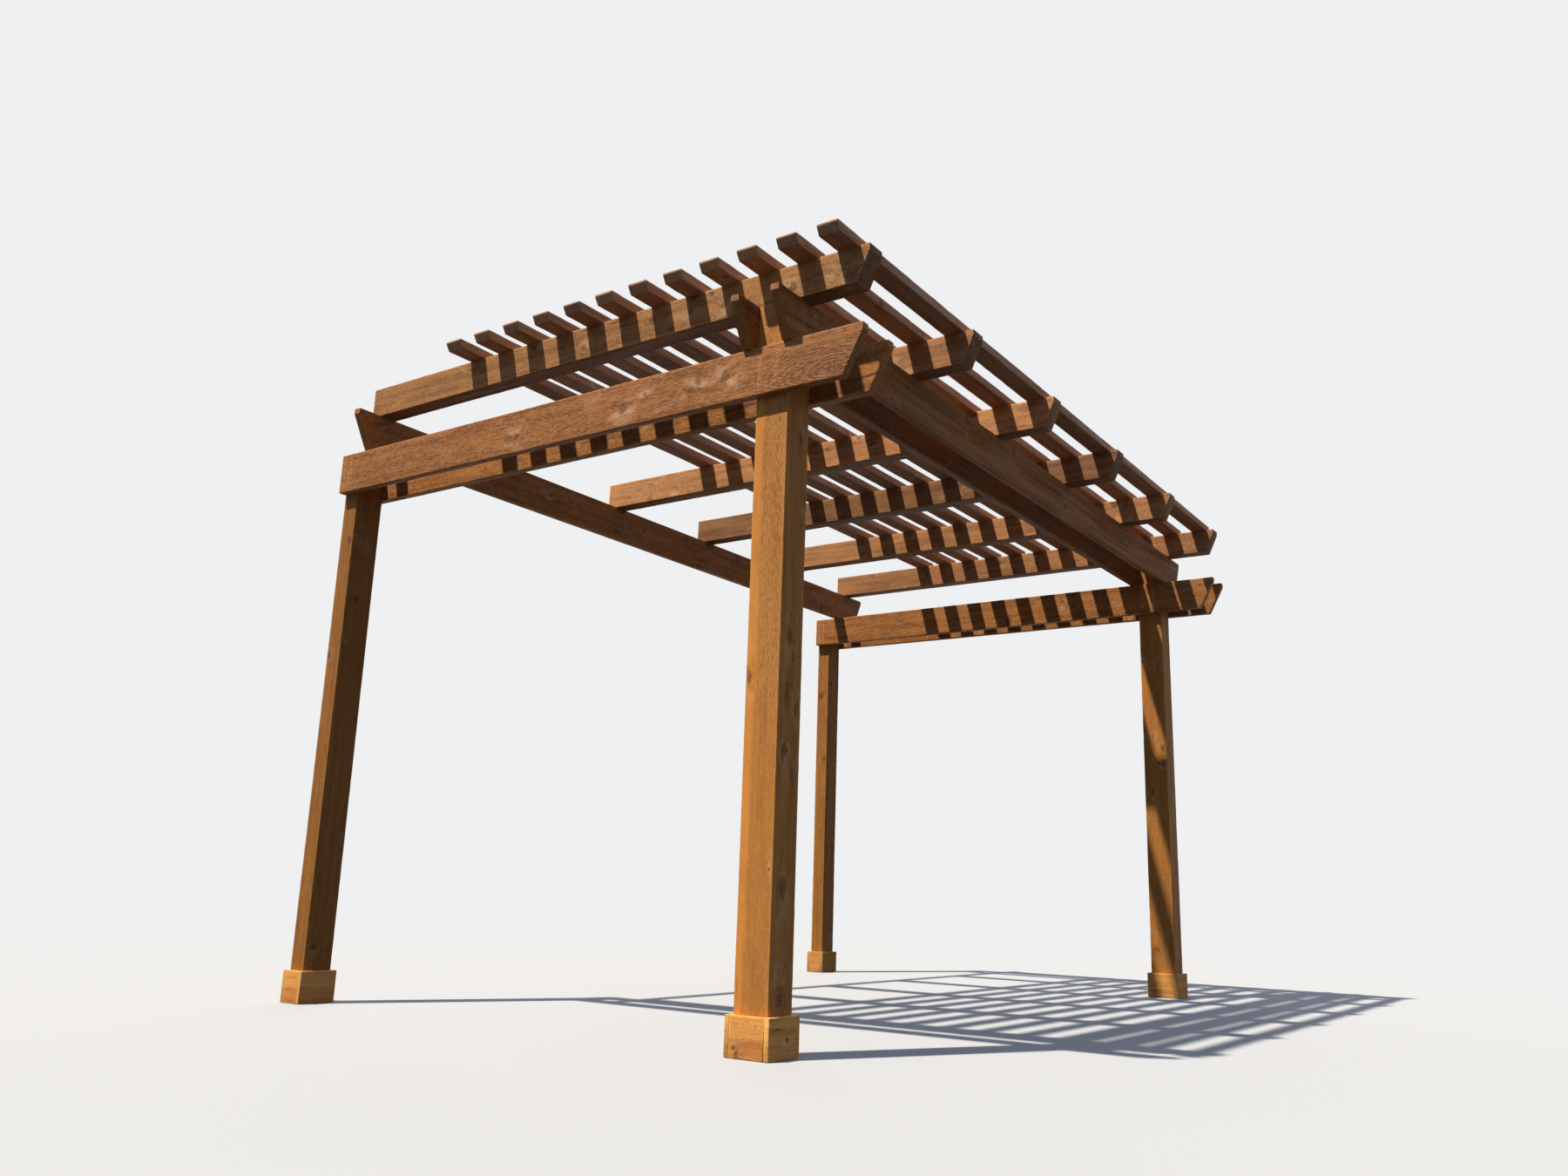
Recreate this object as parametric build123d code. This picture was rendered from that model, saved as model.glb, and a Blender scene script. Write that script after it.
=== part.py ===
from build123d import *
import os

# Wooden pergola: four posts, paired beams, headers, rafters and shade slats.
# Millimetres, +Z up. X runs from side to side, +Y from the front row of posts to the rear row.
# The origin lies on the floor, in the middle of the frame's plan.

# Posts
post_side = 139.7            # front posts, square
rear_post_depth = 88.9       # rear posts, measured from front to rear
post_span = 4105.0           # between post centres along X
post_reach = 2369.0          # front post centre to the front face of a rear post
beam_underside = 2280.0      # floor to the underside of the lower beams

# Foot trim
trim_height = 133.35
trim_thick = 19.05

# Lower beams, one board on each side of the posts
beam_depth = 184.15
beam_thick = 38.1
beam_overhang = 404.0        # front post centre to the tip
beam_nose = 25.4             # upright part of the tip
beam_cut = 80.0              # length of the sloping part of the tip

# Headers, boards across the lower beams
header_depth = 184.15
header_thick = 38.1
header_overhang = 203.0      # post centre to the tip
header_nose = 25.4
header_cut = 81.5
rear_header_gap = 60.0       # between the rear header and the rear posts
rear_header_left = 180.0     # post centre to the left end of the rear header

# Rafters
rafter_count = 6
rafter_depth = 139.7
rafter_width = 88.9
rafter_outset = 61.0         # outer face of the end rafters beyond the post centres
rafter_overhang = 398.0      # front post centre to the tip
rafter_tail = 26.0           # square end past the rear header
rafter_nose = 25.4
rafter_cut = 51.0

# Slats
slat_count = 12
slat_width = 88.9
slat_thick = 38.1
slat_pitch = 176.2
slat_front = 351.0           # front post centre to the front edge of the first slat
slat_overhang = 142.0        # past the left rafter
slat_nose = 12.0
slat_cut = 18.0

# Levels
header_underside = beam_underside + beam_depth
rafter_underside = header_underside + header_depth
slat_underside = rafter_underside + rafter_depth

# Plan positions
left_x = -post_span / 2
right_x = post_span / 2
rear_post_back = post_reach + rear_post_depth
front_y = (beam_overhang - rear_post_back - trim_thick) / 2
rear_y = front_y + post_reach + rear_post_depth / 2
rear_header_back = front_y + post_reach - rear_header_gap
sides = {"left": left_x, "right": right_x}


def board_along_y(x, y0, y1, z0, width, depth, nose, cut):
    """Board along Y with its -X face at x and its tip, nose over slope, at y0."""
    with BuildPart() as board:
        with BuildSketch(Plane.YZ.offset(x)):
            with BuildLine():
                Polyline(
                    (y0, z0 + depth),
                    (y0, z0 + depth - nose),
                    (y0 + cut, z0),
                    (y1, z0),
                    (y1, z0 + depth),
                    close=True,
                )
            make_face()
        extrude(amount=width)
    return board.part


def board_along_x(x0, x1, y, z0, width, depth, nose, cut, both_tips=True):
    """Board along X with its -Y face at y, a tip at x0 and a tip or a square end at x1."""
    left_tip = [(x0, z0 + depth), (x0, z0 + depth - nose), (x0 + cut, z0)]
    square_end = [(x1, z0), (x1, z0 + depth)]
    right_tip = [(x1 - cut, z0), (x1, z0 + depth - nose), (x1, z0 + depth)]
    with BuildPart() as board:
        with BuildSketch(Plane.XZ.offset(-y)):
            with BuildLine():
                Polyline(*left_tip, *(right_tip if both_tips else square_end), close=True)
            make_face()
        extrude(amount=-width)
    return board.part


def post(x, y, depth, top):
    """Upright post, centred on x and y."""
    with BuildPart() as timber:
        with Locations((x, y, 0)):
            Box(post_side, depth, top, align=(Align.CENTER, Align.CENTER, Align.MIN))
    return timber.part


def trim_pair(x, y, gap_x, gap_y, size_x, size_y):
    """Two equal foot boards on opposite faces of a post."""
    with BuildPart() as pair:
        with Locations((x - gap_x, y - gap_y, 0), (x + gap_x, y + gap_y, 0)):
            Box(size_x, size_y, trim_height, align=(Align.CENTER, Align.CENTER, Align.MIN))
    return pair.part


parts = {}

# Posts with their foot trim: the front and back boards cover the ends of the side boards.
rows = {
    "front": (front_y, post_side, rafter_underside),
    "rear": (rear_y, rear_post_depth, header_underside),
}
for row, (y, depth, top) in rows.items():
    for side, x in sides.items():
        parts[f"post_{row}_{side}"] = post(x, y, depth, top)
        parts[f"trim_faces_{row}_{side}"] = trim_pair(
            x, y, 0, (depth + trim_thick) / 2, post_side + 2 * trim_thick, trim_thick
        )
        parts[f"trim_sides_{row}_{side}"] = trim_pair(
            x, y, (post_side + trim_thick) / 2, 0, trim_thick, depth
        )

# Lower beams: each pair holds the posts of one side between its boards.
for side, x in sides.items():
    for place, face_x in (("outer", -1), ("inner", 1)):
        outward = face_x if side == "left" else -face_x
        board_x = x + outward * (post_side + beam_thick) / 2 - beam_thick / 2
        parts[f"beam_{side}_{place}"] = board_along_y(
            board_x, front_y - beam_overhang, front_y + rear_post_back, beam_underside,
            beam_thick, beam_depth, beam_nose, beam_cut,
        )

# Front header: two boards that hold the front posts between them, tips at both ends.
for place, board_y in (
    ("outer", front_y - post_side / 2 - header_thick),
    ("inner", front_y + post_side / 2),
):
    parts[f"header_front_{place}"] = board_along_x(
        left_x - header_overhang, right_x + header_overhang, board_y, header_underside,
        header_thick, header_depth, header_nose, header_cut,
    )

# Rear header: one board on the lower beams.
parts["header_rear"] = board_along_x(
    left_x - rear_header_left, right_x + header_overhang, rear_header_back - header_thick,
    header_underside, header_thick, header_depth, header_nose, header_cut,
)

# Rafters, evenly spaced between the two outer faces.
first_rafter_x = left_x - rafter_outset
last_rafter_x = right_x + rafter_outset - rafter_width
rafter_pitch = (last_rafter_x - first_rafter_x) / (rafter_count - 1)
for i in range(rafter_count):
    parts[f"rafter_{i + 1}"] = board_along_y(
        first_rafter_x + i * rafter_pitch, front_y - rafter_overhang,
        rear_header_back + rafter_tail, rafter_underside,
        rafter_width, rafter_depth, rafter_nose, rafter_cut,
    )

# Slats, counted from the front, square and flush at the right rafter.
for i in range(slat_count):
    parts[f"slat_{i + 1}"] = board_along_x(
        first_rafter_x - slat_overhang, last_rafter_x + rafter_width,
        front_y - slat_front + i * slat_pitch, slat_underside,
        slat_width, slat_thick, slat_nose, slat_cut, both_tips=False,
    )

os.makedirs("parts", exist_ok=True)
for name, solid in parts.items():
    export_step(solid, f"parts/{name}.step")
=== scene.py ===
import math
import random

import bpy
from mathutils import Matrix, Vector


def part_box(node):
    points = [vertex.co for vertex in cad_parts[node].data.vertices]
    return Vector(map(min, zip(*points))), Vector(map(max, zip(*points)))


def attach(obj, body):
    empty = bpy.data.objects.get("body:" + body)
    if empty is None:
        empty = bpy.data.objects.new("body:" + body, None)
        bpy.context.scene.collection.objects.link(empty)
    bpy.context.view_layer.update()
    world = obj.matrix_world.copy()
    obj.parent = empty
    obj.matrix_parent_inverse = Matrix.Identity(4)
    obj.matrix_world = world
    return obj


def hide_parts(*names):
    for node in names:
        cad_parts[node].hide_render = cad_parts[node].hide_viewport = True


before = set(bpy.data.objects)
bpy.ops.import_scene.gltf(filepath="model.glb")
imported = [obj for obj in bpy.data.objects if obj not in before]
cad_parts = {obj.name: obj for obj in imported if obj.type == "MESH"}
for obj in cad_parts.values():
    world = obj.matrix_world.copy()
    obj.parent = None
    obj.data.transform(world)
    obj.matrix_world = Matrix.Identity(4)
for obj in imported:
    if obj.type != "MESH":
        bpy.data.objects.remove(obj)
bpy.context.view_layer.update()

# Wooden pergola of stained, rough sawn timber. Metres, +Z up, +Y towards the back.
rng = random.Random(1726)
FRONT_TO_BACK, SIDE_TO_SIDE, UPRIGHT = 1, 0, 2  # the way a board's grain runs: along Y, X or Z

# ---------------------------------------------------------------- sizes and places, in metres

# Slanted tips: the height of the upright nose, and how far the cut runs back under it
BEAM_TIP = (0.0254, 0.080)
HEADER_TIP = (0.0254, 0.0815)
RAFTER_TIP = (0.0254, 0.051)
SLAT_TIP = (0.008, 0.018)
LEAD = 0.014          # plain end of a board, left free of cuts for its tip
TRIM_THICK = 0.01905

# Arrises: the angle from which an edge is eased, the angle up to which faces look smooth, the sum of a
# normal's parts over which a vertex lies on an arris, and how far inside the arrises the long sides are
# scored, in widths of the arris
EASED_FROM, SMOOTH = math.radians(30), math.radians(23)
ARRIS_TURN = 1.15
SCORE_INSIDE = 3.0

# Waves and nicks of the sawn faces: the size of each, and how sharply the nicks stand out
WAVE_SIZE, NICK_SIZE, NICK_CONTRAST = 0.45, 0.035, 1.8

# One foot board stands a little out of square: how far its foot is cut back, and the slant of the cut
TRIM_GAP = 0.0026
TRIM_SLANT = (0.0, -1.0, -0.017)

# Screws: heads, countersinks, and their places on the beams (Y, Z) and on the headers (across a post, Z)
HEAD_RADIUS, HEAD_THICK = 0.0042, 0.0022
DRIVE_RIM, DRIVE_DEPTH = 0.0026, 0.0014
HEAD_SUNK = 0.0017
SINK_NARROW, SINK_WIDE, SINK_DEPTH, SINK_RAISED = 0.0022, 0.0064, 0.008, 0.0016
FACETS = 14
BEAM_SCREWS = ((-1.0055, 2.4243), (-1.0745, 2.4285), (-1.0005, 2.3194), (-1.0765, 2.3215),
               (1.358, 2.420), (1.397, 2.430), (1.360, 2.318), (1.395, 2.325))
HEADER_SCREWS = ((-0.035, 2.600), (0.035, 2.606), (-0.033, 2.508), (0.037, 2.512))
SLAT_SCREWS = (-0.024, 0.024)
OFF_THE_MARK, OFF_ALONG_A_SLAT = 0.004, 0.012

# Chips out of the upper arris of a slat, by the slat's number: the place and radius of each
CHIP_DEPTH, CHIP_STRETCH = 0.030, (1.8, 1.0, 1.0)
CHIP_TURN = (math.radians(-80), 0, math.radians(12))
SLAT_CHIPS = {2: (((-1.403, -1.2095, 2.8300), 0.0105),)}

# Where the tree's middle lay beside a board: off its broad face, and to one side. A post holds it inside.
HEART_OFF, HEART_ASIDE, HEART_IN_POST = (0.05, 0.11), (-0.05, 0.05), (-0.02, 0.02)
GRAIN_SHIFT = (0.0, 40.0)  # how far along the tree a board was cut

# How pale or dark each board is made, where 1 is the stain's own shade. A board that isn't listed takes
# its tone by chance. A dimmed one shows only so much of its tone: the dimming is painted shade.
CHANCE_TONE = (0.86, 1.12)
# beam_left_inner is made paler partly as painted light on its shaded face
BEAM_TONES_AND_LIGHT = {"beam_left_outer": 0.94, "beam_left_inner": 1.05}
# The darkness of post_rear_left and post_front_right is partly the wood's own and partly painted shade
POST_TONES_AND_SHADE = {"post_front_left": 1.0, "post_front_right": 0.88, "post_rear_left": 0.62}
# The rear right post and the dimmed foot boards are darkened as painted shade
POST_PAINTED_SHADE = {"post_rear_right": 0.75}
TRIM_PAINTED_SHADE = {"front_left": 1.0, "front_right": 0.72, "rear_left": 0.88, "rear_right": 0.72}
# The front headers are darkened as painted shade, the inner one more
HEADER_PAINTED_SHADE = {"header_front_outer": 0.82, "header_front_inner": 0.72}
RAFTER_TONES = (0.95, 0.88, 1.20, 0.60, 1.0, 0.84)
# Painted shade on the undersides of headers and rafters, and painted light on the slats' front faces
HEADER_UNDER_PAINTED_SHADE, RAFTER_UNDER_PAINTED_SHADE, SLAT_FRONT_PAINTED_LIGHT = 0.82, 0.5, 1.3  # how much of its tone that one face shows

# Knots that stand at places of their own: X, Y, Z and reach
BEAM_KNOTS = (
    (-2.1605, 0.290, 2.352, 0.011), (-2.1605, 0.250, 2.345, 0.014), (-2.1605, -0.341, 2.351, 0.018),
    (-2.1605, -0.454, 2.394, 0.010), (-2.1605, -0.681, 2.365, 0.012), (-2.1605, -0.719, 2.390, 0.016),
    (-2.1605, -0.847, 2.380, 0.021), (-2.1605, -1.306, 2.310, 0.010))
BEAM_SWEEP = BEAM_KNOTS[-1][:3]  # the growth lines sweep round the last of them
RAFTER_KNOTS = (
    (-2.1135, -0.783, 2.705, 0.015), (-2.1135, -0.524, 2.669, 0.013), (-2.1135, -0.640, 2.781, 0.018),
    (-2.1135, -0.422, 2.734, 0.013), (-2.1135, -0.056, 2.696, 0.013), (-2.1135, -0.725, 2.771, 0.012),
    (-2.1135, 0.237, 2.763, 0.013), (-2.1135, -0.625, 2.716, 0.015), (-2.1135, -1.362, 2.676, 0.027),
    (-2.1135, -1.106, 2.698, 0.015))
HEADER_KNOTS = (
    (-1.437, -1.1444, 2.486, 0.010), (-0.773, -1.1444, 2.605, 0.012), (0.379, -1.1444, 2.525, 0.016),
    (-0.262, -1.1444, 2.635, 0.010))
POST_KNOTS = (
    (-2.028, -1.106, 2.132, 0.012), (-1.987, -1.106, 1.891, 0.011), (-2.062, -1.106, 1.395, 0.012),
    (-2.042, -1.106, 1.324, 0.008), (-2.067, -1.106, 1.204, 0.014), (-2.016, -1.106, 1.145, 0.010),
    (-2.031, -1.106, 0.921, 0.011), (-2.059, -1.106, 0.536, 0.018), (-2.058, -1.106, 0.195, 0.019),
    (-2.122, -0.974, 1.256, 0.013), (-2.122, -1.093, 0.599, 0.004))
TRIM_KNOTS = (
    (-2.141, -0.989, 0.034, 0.008), (-2.036, -1.125, 0.060, 0.009), (-2.141, -1.040, 0.118, 0.0025),
    (-2.141, -1.072, 0.104, 0.002), (-2.141, -0.996, 0.108, 0.002))

# The near post's lit face (X), the strip of it that the planer missed (Y), how far up it shows (Z), and
# the stretch between the headers (Z), each as the range over which it fades
POST_FACE, MISSED_STRIP = (-2.119, -2.112), (-0.990, -0.968)
MISSED_HIGH, BETWEEN_HEADERS = (0.9, 1.6), (2.27, 2.37)

# The seam of a foot board: its height and waver. The redder wood below it fades over one range of
# heights, and over another of X beside the near board's lit face.
SEAM_LEVEL, SEAM_WAVER = 0.0645, 0.006
BELOW_SEAM, TRIM_FACE = (0.060, 0.068), (-2.139, -2.136)

# ---------------------------------------------------------------- the look of the stained wood

# Patches of each kind of noise a metre: along the grain, across the board and through it
WANDER = (0.9, 2.0, 2.0)
STREAK = (1.6, 42.0, 42.0)
FIBRE = (16.0, 420.0, 420.0)
MOTTLE = (2.6, 9.0, 9.0)
PATCH = (7.0, 14.0, 14.0)
RAGGED = (60.0, 120.0, 120.0)
SPLIT_LINE, SPLIT_PLACE = (0.9, 16.0, 16.0), (1.3, 5.0, 5.0)
CRUMBS_ACROSS, TUFTS_ACROSS = 240.0, 90.0
MISSED_WAVE, SEAM_BREAKS = (6.0, 6.0, 2.2), (30.0, 30.0, 30.0)
RINGS_A_METRE, KNOTS_A_METRE, SWEEPS_A_METRE = 170.0, 11.0, 95.0

# How far the grain is pushed, in metres: the heart as it wanders, the rings and the fibres round a knot
HEART_DRIFT, RINGS_PUSHED, FIBRES_PUSHED = (0.0, 0.05, 0.05), 0.012, 0.014

# Heights and depths of what the saw left, in shares of its fuzz, and of the other marks, in millimetres
TUFT_HIGH, SWEEP_DEEP = 0.6, 0.4
FIBRE_HIGH, RING_HIGH, MISSED_ROUGH = 0.22, 0.10, 2.0
RIM_DEEP, SPLIT_DEEP, SEAM_DEEP = 0.4, 1.2, 1.5
END_FLATTER = 0.6  # a cut end is so much flatter

# How strongly each mark colours the wood
KNOT_INK, RIM_INK, SPLIT_INK, SWEEP_INK = 0.75, 0.4, 0.7, 0.95

# Colours of the marks in the wood
RIM_DARK = (0.045, 0.018, 0.009, 1.0)
SPLIT_DARK = (0.03, 0.014, 0.008, 1.0)
SEAM_DARK = (0.09, 0.03, 0.012, 1.0)
MISSED_SHADE = (0.98, 1.06, 1.35, 1.0)
PLANED_SHADE = (1.34, 1.31, 1.30, 1.0)
BELOW_SEAM_SHADE = (0.78, 0.68, 0.72, 1.0)
# Cut ends darker: end grain takes up more stain, and the rafters' far darker ends are painted shade
CUT_END_STAIN_AND_SHADE = (0.20, 0.18, 0.16, 1.0)

# ---------------------------------------------------------------- camera, floor and light

EYE_PLACE = (-5.6205, -3.5567, 0.5289)
EYE_TURNS = (55.0997, 13.4923, 1.8412)  # heading, tilt and roll, in degrees
EYE_LENS, SENSOR = 29.032, 36.0         # millimetres
EYE_REACH = 500.0

BACKDROP = (0.86, 0.87, 0.88)
ROOM_LIGHT, ROOM_STRENGTH = (0.82, 0.80, 0.72), 0.15
FLOOR_PAINT = (0.43, 0.425, 0.415, 1.0)
FLOOR_BOUNCE = (0.027, 0.037, 0.050, 1.0)
FLOOR_RADIUS, FLOOR_LEVEL = 90.0, -0.0015
FADE_STARTS, FADE_ENDS = 5.0, 17.0      # from the middle of the floor

# Lamps: strength, heading, width of the source in radians, colour
LAMPS = (
    (6.0, (1.0, -0.50, -2.0), 0.02, (1.0, 0.955, 0.88)),
    (0.6, (0.1, 0.3, -1.0), 2.6, (0.42, 0.76, 1.55)),
    (1.0, (-1.0, -0.62, -0.9), 1.0, (1.0, 1.0, 1.0)),
    (0.5, (1.0, 0.30, 0.06), 1.4, (0.40, 0.55, 0.90)),
)


def place_camera():
    """The eye stands low, off the left front corner, and looks up across the frame."""
    yaw, pitch, roll = (math.radians(turn) for turn in EYE_TURNS)
    forward = Vector((math.sin(yaw) * math.cos(pitch), math.cos(yaw) * math.cos(pitch), math.sin(pitch)))
    level = Vector((math.cos(yaw), -math.sin(yaw), 0.0))
    over = level.cross(forward)
    right = math.cos(roll) * level + math.sin(roll) * over
    up = math.cos(roll) * over - math.sin(roll) * level
    bpy.ops.object.camera_add()
    camera = bpy.context.object
    camera.name = "eye"
    turned = Matrix((right, up, -forward)).transposed()
    camera.matrix_world = Matrix.Translation(EYE_PLACE) @ turned.to_4x4()
    camera.data.sensor_width = SENSOR
    camera.data.lens = EYE_LENS
    camera.data.clip_end = EYE_REACH
    bpy.context.scene.camera = camera


def shine(strength, heading, width, colour):
    """A lamp far away that shines along a heading."""
    bpy.ops.object.light_add(type="SUN")
    lamp = bpy.context.object
    lamp.rotation_mode = "QUATERNION"
    lamp.rotation_quaternion = Vector(heading).to_track_quat("-Z", "Y")
    lamp.data.energy = strength
    lamp.data.angle = width
    lamp.data.color = colour


def pale_to_the_eye(tree, pale, bounced):
    """A pale shader for what the eye sees straight, and another for the light it throws back."""
    path = tree.nodes.new("ShaderNodeLightPath")
    seen = sums(tree, "MAXIMUM", path.outputs["Is Camera Ray"], path.outputs["Is Glossy Ray"])
    seen = sums(tree, "MAXIMUM", seen, path.outputs["Is Transmission Ray"])
    both = tree.nodes.new("ShaderNodeMixShader")
    join(tree, seen, both.inputs[0])
    join(tree, bounced, both.inputs[1])
    join(tree, pale, both.inputs[2])
    return both.outputs[0]


def glow(tree, colour, strength):
    made = tree.nodes.new("ShaderNodeBackground")
    made.inputs["Color"].default_value = (*colour, 1.0)
    made.inputs["Strength"].default_value = strength
    return made.outputs[0]


def light_the_studio():
    world = bpy.data.worlds.new("pale_studio")
    bpy.context.scene.world = world
    world.use_nodes = True
    tree = world.node_tree
    tree.nodes.clear()
    last = tree.nodes.new("ShaderNodeOutputWorld")
    shown = pale_to_the_eye(tree, glow(tree, BACKDROP, 1.0), glow(tree, ROOM_LIGHT, ROOM_STRENGTH))
    join(tree, shown, last.inputs["Surface"])
    for lamp in LAMPS:
        shine(*lamp)


def lay_floor():
    """A plain pale floor that fades into the backdrop far away and keeps the pergola's shadow."""
    bpy.ops.mesh.primitive_circle_add(vertices=96, radius=FLOOR_RADIUS, fill_type="NGON",
                                      location=(0, 0, FLOOR_LEVEL))
    floor = bpy.context.object
    floor.name = "floor"
    bpy.ops.object.transform_apply(location=True, rotation=True, scale=True)
    material, tree = bare_material("pale_floor")
    place = own_place(tree)
    far = spread(tree, length_of(tree, place), FADE_STARTS, FADE_ENDS, 0.0, 1.0)
    paint = tree.nodes.new("ShaderNodeBsdfDiffuse")
    paint.inputs["Color"].default_value = FLOOR_PAINT
    paler = tree.nodes.new("ShaderNodeEmission")
    paler.inputs["Color"].default_value = (*BACKDROP, 1.0)
    faded = tree.nodes.new("ShaderNodeMixShader")
    join(tree, far, faded.inputs[0])
    join(tree, paint.outputs[0], faded.inputs[1])
    join(tree, paler.outputs[0], faded.inputs[2])
    dull = tree.nodes.new("ShaderNodeBsdfDiffuse")
    dull.inputs["Color"].default_value = FLOOR_BOUNCE
    show(tree, pale_to_the_eye(tree, faded.outputs[0], dull.outputs[0]))
    floor.data.materials.append(material)


# ---------------------------------------------------------------- wiring of a finish

def bare_material(name):
    """A new material, and its node tree with nothing in it."""
    material = bpy.data.materials.new(name)
    material.use_nodes = True
    material.node_tree.nodes.clear()
    return material, material.node_tree


def show(tree, shader):
    """Makes a shader the one that the surface shows."""
    last = tree.nodes.new("ShaderNodeOutputMaterial")
    join(tree, shader, last.inputs["Surface"])


def join(tree, value, socket):
    """Wires a socket on, or writes a plain value into it."""
    if isinstance(value, bpy.types.NodeSocket):
        tree.links.new(value, socket)
    else:
        socket.default_value = value


def sums(tree, operation, a, b=0.0):
    made = tree.nodes.new("ShaderNodeMath")
    made.operation = operation
    join(tree, a, made.inputs[0])
    join(tree, b, made.inputs[1])
    return made.outputs[0]


def plus(tree, first, *more):
    for part in more:
        first = sums(tree, "ADD", first, part)
    return first


def times(tree, first, *more):
    for part in more:
        first = sums(tree, "MULTIPLY", first, part)
    return first


def less(tree, first, part):
    return sums(tree, "SUBTRACT", first, part)


def vectors(tree, operation, a, b=(0.0, 0.0, 0.0)):
    made = tree.nodes.new("ShaderNodeVectorMath")
    made.operation = operation
    join(tree, a, made.inputs[0])
    join(tree, b, made.inputs[1])
    return made.outputs["Value" if operation == "LENGTH" else "Vector"]


def length_of(tree, vector):
    return vectors(tree, "LENGTH", vector)


def apart(tree, vector):
    """The X, Y and Z of a vector."""
    made = tree.nodes.new("ShaderNodeSeparateXYZ")
    join(tree, vector, made.inputs[0])
    return made.outputs


def own_place(tree):
    """Where a point of the piece lies, in metres."""
    return tree.nodes.new("ShaderNodeTexCoord").outputs["Object"]


def spread(tree, value, low, high, start, end, smooth=True):
    """Carries a value from one range over to another, and holds it inside."""
    made = tree.nodes.new("ShaderNodeMapRange")
    made.interpolation_type = "SMOOTHSTEP" if smooth else "LINEAR"
    for socket, given in zip(made.inputs, (value, low, high, start, end)):
        join(tree, given, socket)
    return made.outputs["Result"]


def cloud(tree, where, stretch, detail=2.0, rough=0.5, swirl=0.0, colour=False):
    """Noise that is stretched by so many patches a metre along each way."""
    made = tree.nodes.new("ShaderNodeTexNoise")
    join(tree, vectors(tree, "MULTIPLY", where, stretch), made.inputs["Vector"])
    made.inputs["Scale"].default_value = 1.0
    made.inputs["Detail"].default_value = detail
    made.inputs["Roughness"].default_value = rough
    made.inputs["Distortion"].default_value = swirl
    return made.outputs["Color" if colour else "Fac"]


def cells(tree, where, feature="F1"):
    """Cells round scattered points, one unit apart."""
    made = tree.nodes.new("ShaderNodeTexVoronoi")
    made.feature = feature
    join(tree, where, made.inputs["Vector"])
    made.inputs["Scale"].default_value = 1.0
    return made.outputs


def blend(tree, amount, first, second, kind="MIX"):
    made = tree.nodes.new("ShaderNodeMix")
    made.data_type = "RGBA"
    made.blend_type = kind
    join(tree, amount, made.inputs["Factor"])
    join(tree, first, made.inputs[6])
    join(tree, second, made.inputs[7])
    return made.outputs[2]


def marked(tree, name, output="Fac"):
    """Reads what a board carries of its own, such as its grain."""
    made = tree.nodes.new("ShaderNodeAttribute")
    made.attribute_name = name
    return made.outputs[output]


def tinted(colour, by, more=(0.0, 0.0, 0.0)):
    """A colour made paler or darker by a factor, with a little added to each part."""
    return tuple(min(1.0, by * part + extra) for part, extra in zip(colour[:3], more)) + (1.0,)


# ---------------------------------------------------------------- stained timber

def how_near_a_knot(tree, place, grain, outward, knots, drawn_out, few):
    """How far off the next knot is, in knot sizes. Chance knots are branches that point away from the
    heart, fewer of them the nearer few is to 1. The others stand at places of their own."""
    axial = tree.nodes.new("ShaderNodeCombineXYZ")
    join(tree, times(tree, apart(tree, grain)[0], KNOTS_A_METRE), axial.inputs[0])
    spot = vectors(tree, "ADD", vectors(tree, "NORMALIZE", outward), axial.outputs[0])
    branch = cells(tree, spot)
    chance = tree.nodes.new("ShaderNodeSeparateColor")
    join(tree, branch["Color"], chance.inputs[0])
    size = spread(tree, chance.outputs[0], few, 1.0, 0.001, 0.30, smooth=False)
    held = spread(tree, cells(tree, spot, "DISTANCE_TO_EDGE")["Distance"], 0.0, 0.14, 0.001, 1.0)
    near = sums(tree, "DIVIDE", branch["Distance"], times(tree, size, held))
    for x, y, z, reach in knots:
        away = vectors(tree, "MULTIPLY", vectors(tree, "SUBTRACT", place, (x, y, z)), drawn_out)
        near = sums(tree, "MINIMUM", near, sums(tree, "DIVIDE", length_of(tree, away), reach))
    return near


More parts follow.
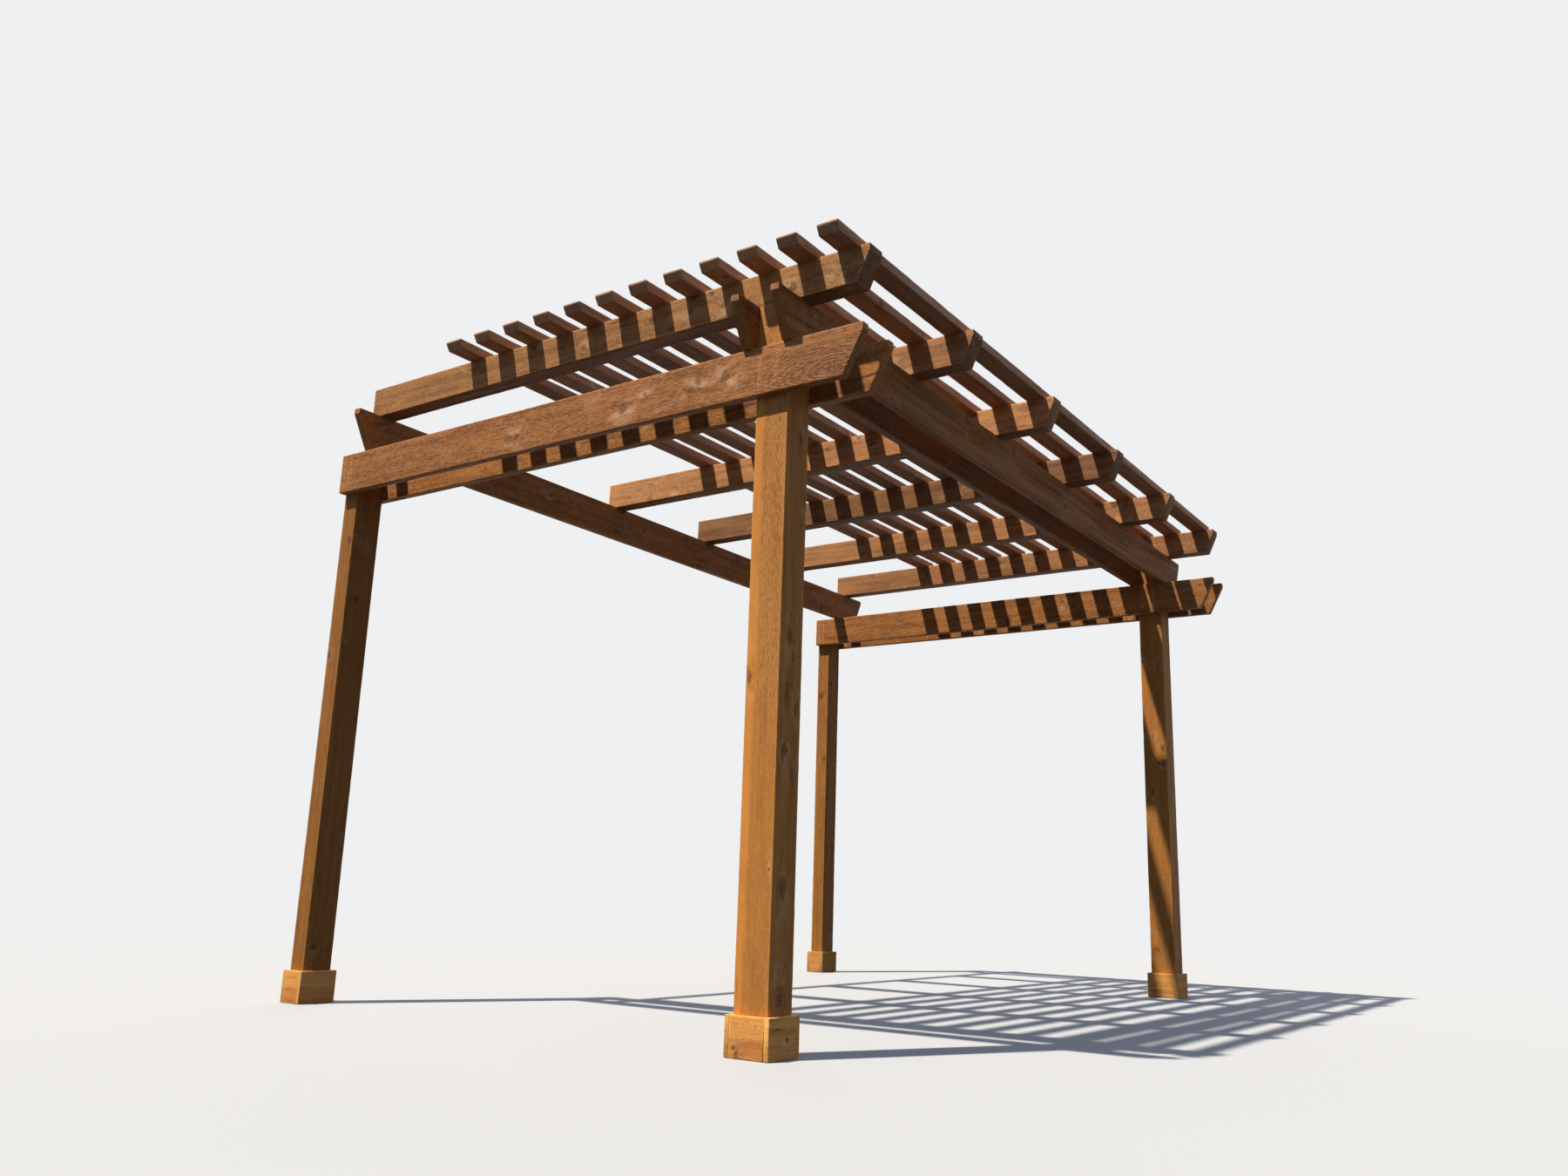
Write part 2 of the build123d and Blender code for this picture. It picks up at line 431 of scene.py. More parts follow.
def timber(name, pale, deep, knot_colour, sawn=0.4, stroke=55.0, rings=0.3, streaks=1.0, butt_stain_and_shade=0.25,
           knots=(), drawn_out=(1.0, 1.0, 1.0), few=0.66, dust=0.45, sweep=None, skip=None, joint=None):
    """Stained softwood. Rings lie round the board's own heart, and knots point away from it. The saw left
    fuzz that is sawn millimetres high, with so many strokes a metre along the grain."""
    material, tree = bare_material(name)
    grain = marked(tree, "grain", "Vector")
    place = own_place(tree)

    # The heart wanders a little along the board
    drift = vectors(tree, "SUBTRACT", cloud(tree, grain, WANDER, 2.0, colour=True), (0.5, 0.5, 0.5))
    grain = vectors(tree, "ADD", grain, vectors(tree, "MULTIPLY", drift, HEART_DRIFT))
    outward = vectors(tree, "MULTIPLY", grain, (0.0, 1.0, 1.0))

    # Knots, their dark rims, the grain that flows round them and the pale dust beside them
    near = how_near_a_knot(tree, place, grain, outward, knots, drawn_out, few)
    ragged = plus(tree, near, spread(tree, cloud(tree, grain, RAGGED), 0.2, 0.8, -0.5, 0.5))
    knot = spread(tree, ragged, 0.2, 1.4, 1.0, 0.0)
    rim = times(tree, spread(tree, ragged, 0.5, 0.8, 0.0, 1.0), spread(tree, ragged, 0.8, 1.15, 1.0, 0.0))
    flow = spread(tree, near, 0.6, 4.5, 1.0, 0.0)
    bloom = spread(tree, near, 1.0, 6.0, 1.0, 0.0)

    # Growth rings, streaks, fibres, slow changes of the stain, and what the saw left
    bent = plus(tree, length_of(tree, outward), times(tree, flow, RINGS_PUSHED))
    turn = sums(tree, "FRACT", times(tree, bent, RINGS_A_METRE))
    ring = times(tree, spread(tree, turn, 0.25, 0.85, 0.0, 1.0), spread(tree, turn, 0.9, 1.0, 1.0, 0.0))
    push = tree.nodes.new("ShaderNodeCombineXYZ")
    for way in (1, 2):
        join(tree, times(tree, flow, FIBRES_PUSHED), push.inputs[way])
    swept = vectors(tree, "ADD", grain, push.outputs[0])
    streak = cloud(tree, swept, STREAK, 3.0, 0.55, 0.4)
    fibre = cloud(tree, swept, FIBRE, 2.0, 0.6)
    mottle = cloud(tree, grain, MOTTLE, 3.0, 0.55, 0.6)
    patch = cloud(tree, grain, PATCH, 3.0, 0.6, 0.8)
    crumb = cloud(tree, swept, (stroke, CRUMBS_ACROSS, CRUMBS_ACROSS), 3.0, 0.62, 0.5)
    tuft = cloud(tree, swept, (0.5 * stroke, TUFTS_ACROSS, TUFTS_ACROSS), 2.0, 0.6, 0.5)
    split = split_lines(tree, grain)
    cut = marked(tree, "end")

    shade = plus(
        tree,
        times(tree, ring, rings),
        spread(tree, streak, 0.32, 0.72, -0.22 * streaks, 0.40 * streaks),
        spread(tree, mottle, 0.3, 0.7, 0.04, 0.34),
        spread(tree, fibre, 0.3, 0.7, -0.10, 0.16),
        spread(tree, crumb, 0.40, 0.60, 0.36 * sawn, -0.26 * sawn),
        spread(tree, tuft, 0.38, 0.62, 0.08 * sawn, -0.07 * sawn),
        times(tree, flow, spread(tree, tuft, 0.3, 0.7, -0.3, 0.7)))
    if sweep:
        arc = sweep_round(tree, place, sweep, tuft)
        shade = plus(tree, shade, times(tree, arc, SWEEP_INK))
    if skip:
        missed, planed = skip(tree, place)
        shade = plus(tree, shade, times(tree, missed, spread(tree, crumb, 0.38, 0.62, 0.48, -0.28)))

    # From pale to deep stain, then each mark over it
    colour = blend(tree, spread(tree, shade, 0.0, 1.0, 0.0, 1.0, smooth=False), pale, deep)
    dusty = plus(tree, times(tree, bloom, spread(tree, patch, 0.44, 0.64, 0.0, dust)),
                 spread(tree, patch, 0.60, 0.72, 0.0, 0.16 * sawn))
    colour = blend(tree, dusty, colour, tinted(pale, 1.35, (0.02, 0.09, 0.09)))
    colour = blend(tree, times(tree, knot, KNOT_INK), colour, knot_colour)
    colour = blend(tree, times(tree, rim, RIM_INK), colour, RIM_DARK)
    colour = blend(tree, times(tree, split, SPLIT_INK), colour, SPLIT_DARK)
    if skip:
        colour = blend(tree, missed, colour, MISSED_SHADE, "MULTIPLY")
        colour = blend(tree, planed, colour, PLANED_SHADE, "MULTIPLY")
    if joint:
        seam, below = joint(tree, place, tuft)
        colour = blend(tree, below, colour, BELOW_SEAM_SHADE, "MULTIPLY")
        colour = blend(tree, seam, colour, SEAM_DARK)
    # Paler arrises: partly wear, partly a painted highlight along the edges
    worn_and_highlit = times(tree, marked(tree, "worn_and_highlit"), spread(tree, tuft, 0.35, 0.6, 0.2, 0.8))
    colour = blend(tree, worn_and_highlit, colour, tinted(pale, 1.2))
    # Darker cut ends: end-grain stain, and on the rafters painted shade
    colour = blend(tree, times(tree, cut, butt_stain_and_shade), colour, CUT_END_STAIN_AND_SHADE, "MULTIPLY")
    # The board's tone: its stain tone, times painted shade on dimmed boards and undersides and painted light
    # on slat fronts
    toned_with_painted_shading = tree.nodes.new("ShaderNodeHueSaturation")
    join(tree, colour, toned_with_painted_shading.inputs["Color"])
    join(tree, marked(tree, "tone_and_painted_shading"), toned_with_painted_shading.inputs["Value"])

    # The relief, in millimetres
    height = plus(tree, times(tree, crumb, sawn), times(tree, tuft, TUFT_HIGH * sawn))
    if sweep:
        height = less(tree, height, times(tree, arc, SWEEP_DEEP * sawn))
    if skip:
        height = plus(tree, height, times(tree, missed, times(tree, crumb, MISSED_ROUGH)))
    if joint:
        height = less(tree, height, times(tree, seam, SEAM_DEEP))
    height = plus(tree, height, times(tree, fibre, FIBRE_HIGH), times(tree, ring, RING_HIGH))
    height = less(tree, height, times(tree, rim, RIM_DEEP))
    height = less(tree, height, times(tree, split, SPLIT_DEEP))
    height = times(tree, height, less(tree, 1.0, times(tree, cut, END_FLATTER)))
    relief = tree.nodes.new("ShaderNodeBump")
    relief.inputs["Strength"].default_value = 1.0
    relief.inputs["Distance"].default_value = 0.001
    join(tree, height, relief.inputs["Height"])

    wood = tree.nodes.new("ShaderNodeBsdfPrincipled")
    join(tree, toned_with_painted_shading.outputs["Color"], wood.inputs["Base Color"])
    join(tree, spread(tree, streak, 0.3, 0.7, 0.58, 0.76), wood.inputs["Roughness"])
    wood.inputs["Specular IOR Level"].default_value = 0.16
    join(tree, relief.outputs[0], wood.inputs["Normal"])
    show(tree, wood.outputs[0])
    return material


def split_lines(tree, grain):
    """Thin drying splits along the grain, in a few places only."""
    line = sums(tree, "ABSOLUTE", less(tree, cloud(tree, grain, SPLIT_LINE, 1.0), 0.5))
    where = spread(tree, cloud(tree, grain, SPLIT_PLACE, 1.0), 0.62, 0.68, 0.0, 1.0)
    return times(tree, spread(tree, line, 0.002, 0.006, 1.0, 0.0), where)


def sweep_round(tree, place, middle, waver):
    """Growth lines that sweep round one spot of a board that runs along Y, as long ovals."""
    away = vectors(tree, "MULTIPLY", vectors(tree, "SUBTRACT", place, middle), (1.0, 0.30, 1.0))
    far = length_of(tree, away)
    turn = sums(tree, "FRACT", plus(tree, times(tree, far, SWEEPS_A_METRE), times(tree, waver, 2.2)))
    line = times(tree, spread(tree, turn, 0.2, 0.6, 0.0, 1.0), spread(tree, turn, 0.75, 1.0, 1.0, 0.0))
    return times(tree, line, spread(tree, far, 0.05, 0.15, 1.0, 0.0))


def planed_skip(tree, place):
    """The near post's lit face: where the planer missed it and left it rough, mostly high up and between
    the headers, and the brighter planed strip beside that."""
    x, y, z = apart(tree, place)
    wave = times(tree, cloud(tree, place, MISSED_WAVE, 2.0), 0.05)
    front = spread(tree, plus(tree, y, wave), *MISSED_STRIP, 1.0, 0.0)
    face = spread(tree, x, *POST_FACE, 1.0, 0.0)
    high = spread(tree, plus(tree, z, wave), *MISSED_HIGH, 0.3, 0.9)
    front = sums(tree, "MAXIMUM", front, spread(tree, z, *BETWEEN_HEADERS, 0.0, 1.0))
    return times(tree, front, face, high), times(tree, less(tree, 1.0, front), face)


def trim_joint(tree, place, waver):
    """The fine seam at half height of a foot board, and the redder wood below it on the lit side."""
    x, y, z = apart(tree, place)
    level = plus(tree, z, times(tree, waver, SEAM_WAVER))
    off = sums(tree, "ABSOLUTE", less(tree, level, SEAM_LEVEL))
    broken = spread(tree, cloud(tree, place, SEAM_BREAKS, 2.0), 0.42, 0.60, 0.08, 0.62)
    seam = times(tree, spread(tree, off, 0.0004, 0.0016, 1.0, 0.0), broken)
    lit = spread(tree, x, *TRIM_FACE, 1.0, 0.12)
    return seam, times(tree, spread(tree, level, *BELOW_SEAM, 1.0, 0.0), lit)


def brushed_zinc(name, colour, metal, roughness):
    """The coated metal of a screw."""
    material, tree = bare_material(name)
    spots = cloud(tree, own_place(tree), (240.0, 240.0, 240.0), 3.0, 0.6)
    spotted = blend(tree, spread(tree, spots, 0.4, 0.65, 0.0, 1.0), colour, tinted(colour, 0.45))
    coat = tree.nodes.new("ShaderNodeBsdfPrincipled")
    join(tree, spotted, coat.inputs["Base Color"])
    join(tree, spread(tree, spots, 0.3, 0.7, roughness - 0.1, roughness + 0.15), coat.inputs["Roughness"])
    coat.inputs["Metallic"].default_value = metal
    show(tree, coat.outputs[0])
    return material


# ---------------------------------------------------------------- sawing and easing the boards

def start():
    if bpy.context.object and bpy.context.object.mode == "EDIT":
        bpy.ops.object.mode_set(mode="OBJECT")
    bpy.ops.object.select_all(action="DESELECT")


def settle(piece):
    """Puts a piece's place into its mesh."""
    piece.select_set(True)
    bpy.context.view_layer.objects.active = piece
    bpy.ops.object.transform_apply(location=True, rotation=True, scale=True)


def finish_with(piece, kind, **settings):
    """Adds one modifier to a piece, sets it and applies it."""
    bpy.context.view_layer.objects.active = piece
    made = piece.modifiers.new(kind.lower(), kind)
    for key, value in settings.items():
        setattr(made, key, value)
    bpy.ops.object.modifier_apply(modifier=made.name)


def choose_faces(piece, wanted):
    """Selects the faces of a piece that answer to a test, in edit mode."""
    bpy.context.view_layer.objects.active = piece
    bpy.ops.object.mode_set(mode="EDIT")
    bpy.ops.mesh.select_mode(type="FACE")
    bpy.ops.mesh.select_all(action="DESELECT")
    bpy.ops.object.mode_set(mode="OBJECT")
    for face in piece.data.polygons:
        face.select = wanted(face)
    bpy.ops.object.mode_set(mode="EDIT")


def others(axis):
    """The two ways across a board."""
    return [i for i in range(3) if i != axis]


def on_arris(vertex):
    """Whether a vertex looks out over an edge between two faces."""
    return sum(abs(part) for part in vertex.normal) > ARRIS_TURN


def drawn(low, high, axis, pitch, leads):
    """A board between two corners: a middle with a cut across it every so often, drawn out at both ends
    by a plain lead that leaves room for the tip."""
    start()
    first, last = low.copy(), high.copy()
    first[axis] += leads[0]
    last[axis] -= leads[1]
    long = (last - first)[axis]
    bpy.ops.mesh.primitive_cube_add(size=1.0, location=(first + last) / 2, scale=last - first)
    piece = bpy.context.object
    settle(piece)
    bpy.ops.object.mode_set(mode="EDIT")
    bpy.ops.mesh.select_mode(type="EDGE")
    bpy.ops.mesh.select_all(action="DESELECT")
    bpy.ops.object.mode_set(mode="OBJECT")
    for edge in piece.data.edges:
        ends = [piece.data.vertices[i].co for i in edge.vertices]
        edge.select = abs((ends[1] - ends[0])[axis]) > long * 0.9
    bpy.ops.object.mode_set(mode="EDIT")
    bpy.ops.mesh.subdivide(number_cuts=max(2, round(long / pitch)))
    bpy.ops.object.mode_set(mode="OBJECT")
    for way, lead in ((-1, leads[0]), (1, leads[1])):
        choose_faces(piece, lambda face: face.normal[axis] * way > 0.9)
        step = [0.0, 0.0, 0.0]
        step[axis] = way * lead
        bpy.ops.mesh.extrude_region_move(TRANSFORM_OT_translate={"value": step})
        bpy.ops.object.mode_set(mode="OBJECT")
    return piece


def cut_tip(piece, point, normal):
    """Saws a slanted tip: what lies beyond the plane falls away."""
    bpy.context.view_layer.objects.active = piece
    bpy.ops.object.mode_set(mode="EDIT")
    bpy.ops.mesh.select_all(action="SELECT")
    bpy.ops.mesh.bisect(plane_co=point, plane_no=normal, use_fill=True, clear_outer=True)
    bpy.ops.object.mode_set(mode="OBJECT")


def sawn_tip(piece, low, high, axis, side, nose, back):
    """The slope under an end: an upright nose at the top, then a cut back to the underside."""
    top = Vector((0, 0, high.z - nose))
    top[axis] = high[axis] if side > 0 else low[axis]
    heading = Vector((0, 0, -back))
    heading[axis] = side * (high.z - nose - low.z)
    cut_tip(piece, top, heading.normalized())


def score_sides(piece, axis, margin):
    """Scores a line inside the arrises of each long side, so that nicks stay beside the arris."""
    for side in others(axis):
        for way in (-1, 1):
            choose_faces(piece, lambda face: face.normal[side] * way > 0.9995)
            bpy.ops.mesh.inset(thickness=margin, depth=0.0)
            bpy.ops.object.mode_set(mode="OBJECT")


def ease(piece, axis, arris, waver, grit):
    """Takes the sharpness off the arrises, and leaves the small waviness and nicks of sawn timber."""
    finish_with(piece, "BEVEL", width=arris, segments=2, limit_method="ANGLE", angle_limit=EASED_FROM)
    score_sides(piece, axis, arris * SCORE_INSIDE)
    slow = bpy.data.textures.new("slow_wave", "CLOUDS")
    slow.noise_scale, slow.noise_depth = WAVE_SIZE, 1
    finish_with(piece, "DISPLACE", texture=slow, texture_coords="GLOBAL", strength=waver, mid_level=0.5)
    group = piece.vertex_groups.new(name="arris")
    group.add([v.index for v in piece.data.vertices if on_arris(v)], 1.0, "REPLACE")
    nick = bpy.data.textures.new("small_nicks", "CLOUDS")
    nick.noise_scale, nick.noise_depth, nick.contrast = NICK_SIZE, 2, NICK_CONTRAST
    finish_with(piece, "DISPLACE", texture=nick, texture_coords="GLOBAL", strength=grit, mid_level=0.62,
                vertex_group="arris")
    piece.vertex_groups.clear()


def mark_grain(piece, axis, heart, tone_and_painted_shading, under_painted_shade, front):
    """Gives a board its own grain, its tone with painted shading, and its cut ends. Heart is where the
    tree's middle lies, seen from the board's own middle, across and through the board. Under and front say
    how much of its tone the underside and the front face show, as painted shade under it and painted light
    on its front."""
    mesh = piece.data
    spots = [v.co.copy() for v in mesh.vertices]
    middle = Vector([(min(c) + max(c)) / 2 for c in zip(*spots)])
    across, through = others(axis)
    shift = rng.uniform(*GRAIN_SHIFT)
    mesh.attributes.new("grain", "FLOAT_VECTOR", "POINT")
    mesh.attributes.new("tone_and_painted_shading", "FLOAT", "POINT")
    mesh.attributes.new("worn_and_highlit", "FLOAT", "POINT")
    mesh.attributes.new("end", "FLOAT", "FACE")
    grain, tones_and_painted_shading, worn_and_highlit, ends = (mesh.attributes[kind].data for kind in ("grain", "tone_and_painted_shading", "worn_and_highlit", "end"))
    for i, vertex in enumerate(mesh.vertices):
        off, facing = spots[i] - middle, vertex.normal
        grain[i].vector = (off[axis] + shift, off[across] - heart[0], off[through] - heart[1])
        # Painted shade on undersides, painted light on front faces
        tones_and_painted_shading[i].value = tone_and_painted_shading * (under_painted_shade if facing.z < -0.7 else front if facing.y < -0.7 else 1.0)
        # Arris vertices: partly wear, partly a painted highlight
        worn_and_highlit[i].value = 1.0 if on_arris(vertex) else 0.0
    for i, face in enumerate(mesh.polygons):
        ends[i].value = 1.0 if abs(face.normal[axis]) > 0.8 else 0.0


def pick_heart(low, high, axis):
    """Where the tree's middle lay beside a sawn board: off one of its broad faces."""
    ways = others(axis)
    thin = min(ways, key=lambda i: (high - low)[i])
    far = rng.choice((-1, 1)) * rng.uniform(*HEART_OFF)
    side_way = rng.uniform(*HEART_ASIDE)
    return (far, side_way) if ways[0] == thin else (side_way, far)


def board(node, axis, material, slot, low=None, high=None, name=None, tips=(), nose=0.0, back=0.0,
          arris=0.002, waver=0.002, grit=0.001, pitch=0.02, heart=None, tone_and_painted_shading=None, painted_shade_dim=1.0, under_painted_shade=1.0,
          front=1.0, holes=(), chips=(), skewed=None):
    """One board of the pergola, from the size of its CAD node to its finish."""
    if low is None:
        low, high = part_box(node)
    made = drawn(low, high, axis, pitch, [LEAD + (back if side in tips else 0.0) for side in (-1, 1)])
    made.name = name or "sawn_" + node
    made.data.name = made.name
    for side in tips:
        sawn_tip(made, low, high, axis, side, nose, back)
    if skewed:
        cut_tip(made, *skewed)
    ease(made, axis, arris, waver, grit)
    if holes:
        sink_holes(made, holes, chips)
    start()
    settle(made)
    heart = heart or pick_heart(low, high, axis)
    # A board's tone times its dimming, which is painted shade
    mark_grain(made, axis, heart, (tone_and_painted_shading or rng.uniform(*CHANCE_TONE)) * painted_shade_dim, under_painted_shade, front)
    made.data.materials.append(material)
    bpy.ops.object.shade_smooth_by_angle(angle=SMOOTH)
    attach(made, "root")
    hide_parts(node)


# ---------------------------------------------------------------- screws

def turned_to(heading):
    return Vector(heading).to_track_quat("Z", "Y")


def about(value, slack=OFF_THE_MARK):
    """A place that was marked by hand, a little off its mark."""
    return value + rng.uniform(-slack, slack)


def sink_holes(made, holes, chips):
    """Countersinks a board where its screws go in, and breaks the chips out of its arrises."""
    start()
    cones = []
    for place, wide in chips:
        bpy.ops.mesh.primitive_cone_add(vertices=9, radius1=wide, radius2=0.4 * wide,
                                        depth=CHIP_DEPTH, location=place, scale=CHIP_STRETCH,
                                        rotation=CHIP_TURN)
        cones.append(bpy.context.object)
    for place, heading in holes:
        bpy.ops.mesh.primitive_cone_add(vertices=FACETS, radius1=SINK_NARROW, radius2=SINK_WIDE,
                                        depth=SINK_DEPTH,
                                        location=Vector(place) + Vector(heading) * SINK_RAISED)
        cone = bpy.context.object
        cone.rotation_mode = "QUATERNION"
        cone.rotation_quaternion = turned_to(heading)
        cones.append(cone)
    for cone in cones:
        cone.select_set(True)
    bpy.context.view_layer.objects.active = cones[0]
    bpy.ops.object.join()
    cutter = bpy.context.object
    start()
    finish_with(made, "BOOLEAN", operation="DIFFERENCE", solver="EXACT", object=cutter)
    bpy.data.objects.remove(cutter, do_unlink=True)


def screw_head(name):
    """A flat head with a recessed drive, modelled once at the origin and copied."""
    start()
    bpy.ops.mesh.primitive_cylinder_add(vertices=FACETS, radius=HEAD_RADIUS, depth=HEAD_THICK,
                                        location=(0, 0, 0))
    head = bpy.context.object
    head.name = name
    for face in head.data.polygons:
        face.select = face.normal.z > 0.9
    bpy.ops.object.mode_set(mode="EDIT")
    bpy.ops.mesh.select_mode(type="FACE")
    bpy.ops.mesh.inset(thickness=DRIVE_RIM, depth=0.0)
    bpy.ops.mesh.extrude_region_move(TRANSFORM_OT_translate={"value": (0, 0, -DRIVE_DEPTH)})
    bpy.ops.object.mode_set(mode="OBJECT")
    return head


def drive_screws(name, holes, metal):
    """Seats a row of heads in their holes, as one piece."""
    pattern = screw_head(name + "_pattern")
    heads = []
    for place, heading in holes:
        head = pattern.copy()
        head.data = pattern.data.copy()
        bpy.context.collection.objects.link(head)
        head.location = Vector(place) - Vector(heading) * HEAD_SUNK
        head.rotation_mode = "QUATERNION"
        head.rotation_quaternion = turned_to(heading)
        heads.append(head)
    start()
    bpy.data.objects.remove(pattern, do_unlink=True)
    for head in heads:
        head.select_set(True)
    bpy.context.view_layer.objects.active = heads[0]
    bpy.ops.object.join()
    row = bpy.context.object
    row.name = name
    row.data.name = name
    settle(row)
    row.data.materials.append(metal)
    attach(row, "root")


# ---------------------------------------------------------------- the pergola

def make_posts(finish, near_finish):
    for node in ("post_front_left", "post_front_right", "post_rear_left", "post_rear_right"):
        heart = (rng.uniform(*HEART_IN_POST), rng.uniform(*HEART_IN_POST))
        near = node == "post_front_left"
        # Each post takes its tone, partly painted shade on two of them, and its dimming as painted shade
        board(node, UPRIGHT, near_finish if near else finish, "post_timber", arris=0.0032, waver=0.002,
              grit=0.001, heart=heart, tone_and_painted_shading=POST_TONES_AND_SHADE.get(node), painted_shade_dim=POST_PAINTED_SHADE.get(node, 1.0))


def make_foot_trim(finish):
    """Four boards round each foot. The side boards stand between the front and back ones."""
    # Each foot's boards are dimmed by a factor that is painted shade
    for foot, painted_shade_dim in TRIM_PAINTED_SHADE.items():
        feel = dict(arris=0.0016, waver=0.0008, grit=0.0007, pitch=0.008, painted_shade_dim=painted_shade_dim)
        low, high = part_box("trim_faces_" + foot)
        for mark, near, far in (("front", low.y, low.y + TRIM_THICK), ("back", high.y - TRIM_THICK, high.y)):
            board("trim_faces_" + foot, SIDE_TO_SIDE, finish, "foot_trim", Vector((low.x, near, low.z)),
                  Vector((high.x, far, high.z)), "trim_" + mark + "_" + foot, **feel)
        low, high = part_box("trim_sides_" + foot)
        for mark, near, far in (("left", low.x, low.x + TRIM_THICK), ("right", high.x - TRIM_THICK, high.x)):
            skewed = None
            if (foot, mark) == ("front_left", "left"):
                skewed = (Vector((near, low.y + TRIM_GAP, low.z)), Vector(TRIM_SLANT).normalized())
            board("trim_sides_" + foot, FRONT_TO_BACK, finish, "foot_trim", Vector((near, low.y, low.z)),
                  Vector((far, high.y, high.z)), "trim_" + mark + "_" + foot, skewed=skewed, **feel)


def beam_screws(node, side):
    """Four screws through a lower beam into each post, on the side that faces away from it."""
    low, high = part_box(node)
    x = low.x if side < 0 else high.x
    return [((x, about(y), about(z)), (side, 0, 0)) for y, z in BEAM_SCREWS]


def make_lower_beams(finish, near_finish, metal):
    nose, back = BEAM_TIP
    for node, side in (("beam_left_outer", -1), ("beam_left_inner", 1), ("beam_right_inner", -1),
                       ("beam_right_outer", 1)):
        holes = beam_screws(node, side)
        board(node, FRONT_TO_BACK, near_finish if node == "beam_left_outer" else finish, "beam_timber",
              tips=(-1,), nose=nose, back=back, holes=holes, tone_and_painted_shading=BEAM_TONES_AND_LIGHT.get(node))
        drive_screws("screws_" + node, holes, metal)


def make_headers(finish, near_finish, metal):
    nose, back = HEADER_TIP
    posts = [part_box("post_front_left"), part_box("post_front_right")]
    for node, side in (("header_front_outer", -1), ("header_front_inner", 1)):
        low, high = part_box(node)
        y = low.y if side < 0 else high.y
        holes = []
        for post_low, post_high in posts:
            middle = (post_low.x + post_high.x) / 2
            for across, z in HEADER_SCREWS:
                holes.append(((about(middle + across), y, about(z)), (0, side, 0)))
        # The front headers take painted shade: a darker tone, and a darker underside
        board(node, SIDE_TO_SIDE, near_finish if side < 0 else finish, "beam_timber", tips=(-1, 1),
              nose=nose, back=back, holes=holes, tone_and_painted_shading=HEADER_PAINTED_SHADE[node], under_painted_shade=HEADER_UNDER_PAINTED_SHADE)
        drive_screws("screws_" + node, holes, metal)
    board("header_rear", SIDE_TO_SIDE, finish, "beam_timber", tips=(-1, 1), nose=nose, back=back)


def make_rafters(finish, near_finish):
    nose, back = RAFTER_TIP
    for number, tone_and_painted_shading in enumerate(RAFTER_TONES, 1):
        # The rafters' undersides are darkened as painted shade
        board(f"rafter_{number}", FRONT_TO_BACK, near_finish if number == 1 else finish, "rafter_timber",
              tips=(-1,), nose=nose, back=back, arris=0.0024, waver=0.003, tone_and_painted_shading=tone_and_painted_shading,
              under_painted_shade=RAFTER_UNDER_PAINTED_SHADE)


def make_slats(finish, metal):
    """Slats lie flat on the rafters, with two screws down into each."""
    nose, back = SLAT_TIP
    rafters = [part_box(f"rafter_{number}") for number in range(1, 7)]
    driven = []
    for number in range(1, 13):
        low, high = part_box(f"slat_{number}")
        middle = (low.y + high.y) / 2
        holes = []
        for rafter_low, rafter_high in rafters:
            x = (rafter_low.x + rafter_high.x) / 2
            for across in SLAT_SCREWS:
                holes.append(((about(x, OFF_ALONG_A_SLAT), about(middle + across), high.z), (0, 0, 1)))
        # The slats' front faces are lightened as painted light
        board(f"slat_{number}", SIDE_TO_SIDE, finish, "slat_timber", tips=(-1,), nose=nose, back=back,
              arris=0.002, waver=0.003, grit=0.0016, pitch=0.025, front=SLAT_FRONT_PAINTED_LIGHT, holes=holes,
              chips=SLAT_CHIPS.get(number, ()))
        driven += holes
    drive_screws("screws_slats", driven, metal)


place_camera()
light_the_studio()
lay_floor()

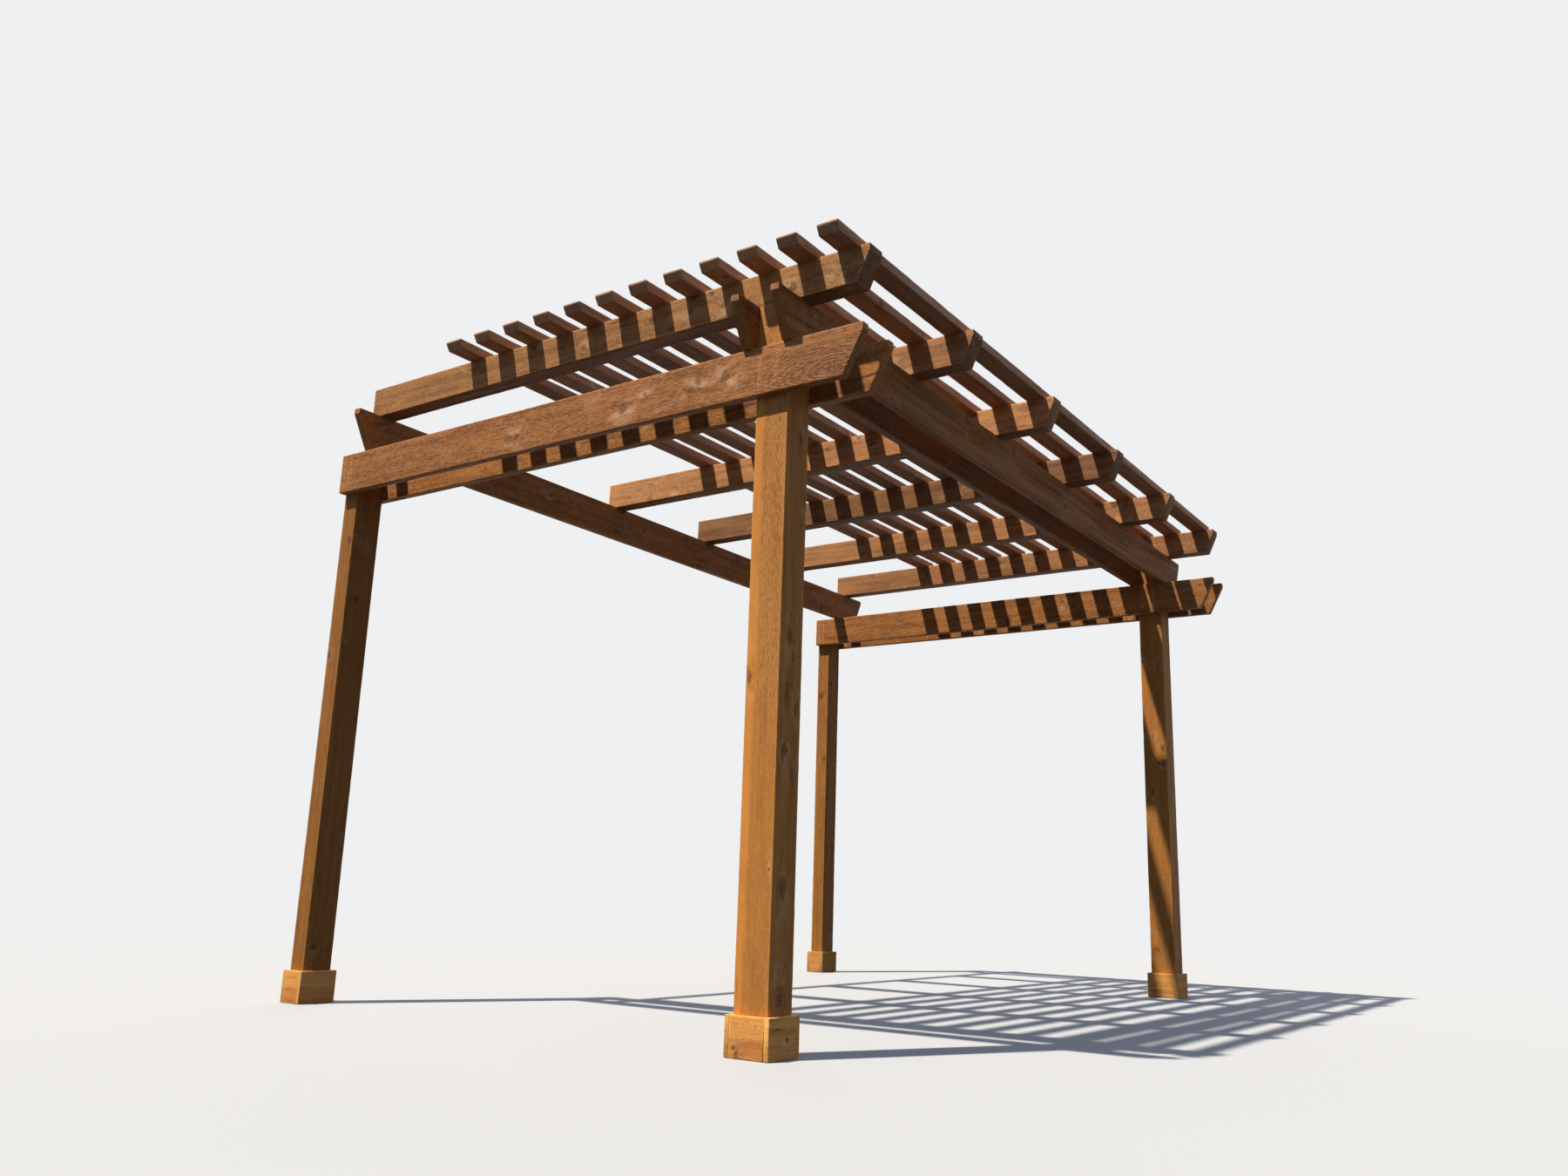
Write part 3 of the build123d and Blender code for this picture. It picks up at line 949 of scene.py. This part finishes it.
# Each finish: its name, then the pale stain, the deep stain and the knots
post_timber = timber(
    "stained_post", (0.51, 0.203, 0.039, 1), (0.29, 0.099, 0.018, 1), (0.13, 0.042, 0.014, 1),
    sawn=0.6, rings=0.12, streaks=0.6)
near_post_timber = timber(
    "stained_near_post", (0.50, 0.198, 0.037, 1), (0.29, 0.098, 0.018, 1), (0.13, 0.042, 0.014, 1),
    sawn=0.3, rings=0.1, streaks=0.5, knots=POST_KNOTS, drawn_out=(1.0, 1.0, 0.5), few=0.97,
    skip=planed_skip)
trim_timber = timber(
    "stained_trim", (0.97, 0.430, 0.105, 1), (0.68, 0.250, 0.052, 1), (0.16, 0.05, 0.016, 1),
    sawn=0.35, rings=0.25, knots=TRIM_KNOTS, few=0.8, joint=trim_joint)
beam_timber = timber(
    "stained_beam", (0.42, 0.163, 0.040, 1), (0.19, 0.068, 0.018, 1), (0.10, 0.032, 0.012, 1),
    sawn=1.3, rings=0.15)
near_beam_timber = timber(
    "stained_near_beam", (0.42, 0.164, 0.044, 1), (0.18, 0.065, 0.020, 1), (0.16, 0.052, 0.018, 1),
    sawn=1.6, stroke=45.0, rings=0.1, knots=BEAM_KNOTS, few=0.9, dust=0.85, sweep=BEAM_SWEEP)
near_header_timber = timber(
    "stained_near_header", (0.42, 0.163, 0.040, 1), (0.19, 0.068, 0.018, 1), (0.08, 0.03, 0.014, 1),
    sawn=0.9, rings=0.2, streaks=1.5, knots=HEADER_KNOTS, few=0.85)
# The rafters' cut ends are darkened far beyond the other boards' as painted shade
rafter_timber = timber(
    "stained_rafter", (0.49, 0.215, 0.073, 1), (0.22, 0.091, 0.036, 1), (0.10, 0.035, 0.014, 1),
    sawn=1.2, stroke=150.0, rings=0.2, butt_stain_and_shade=0.75)
near_rafter_timber = timber(
    "stained_near_rafter", (0.45, 0.200, 0.057, 1), (0.19, 0.080, 0.028, 1), (0.085, 0.034, 0.016, 1),
    sawn=1.5, stroke=170.0, rings=0.15, butt_stain_and_shade=0.8, knots=RAFTER_KNOTS, few=0.85)
slat_timber = timber(
    "stained_slat", (0.44, 0.215, 0.100, 1), (0.26, 0.118, 0.056, 1), (0.11, 0.042, 0.019, 1),
    sawn=0.6, rings=0.22, butt_stain_and_shade=0.1)
screw_metal = brushed_zinc("coated_screw", (0.62, 0.50, 0.38, 1), metal=0.4, roughness=0.5)

make_posts(post_timber, near_post_timber)
make_foot_trim(trim_timber)
make_lower_beams(beam_timber, near_beam_timber, screw_metal)
make_headers(beam_timber, near_header_timber, screw_metal)
make_rafters(rafter_timber, near_rafter_timber)
make_slats(slat_timber, screw_metal)

bpy.context.scene.view_settings.view_transform = "Standard"
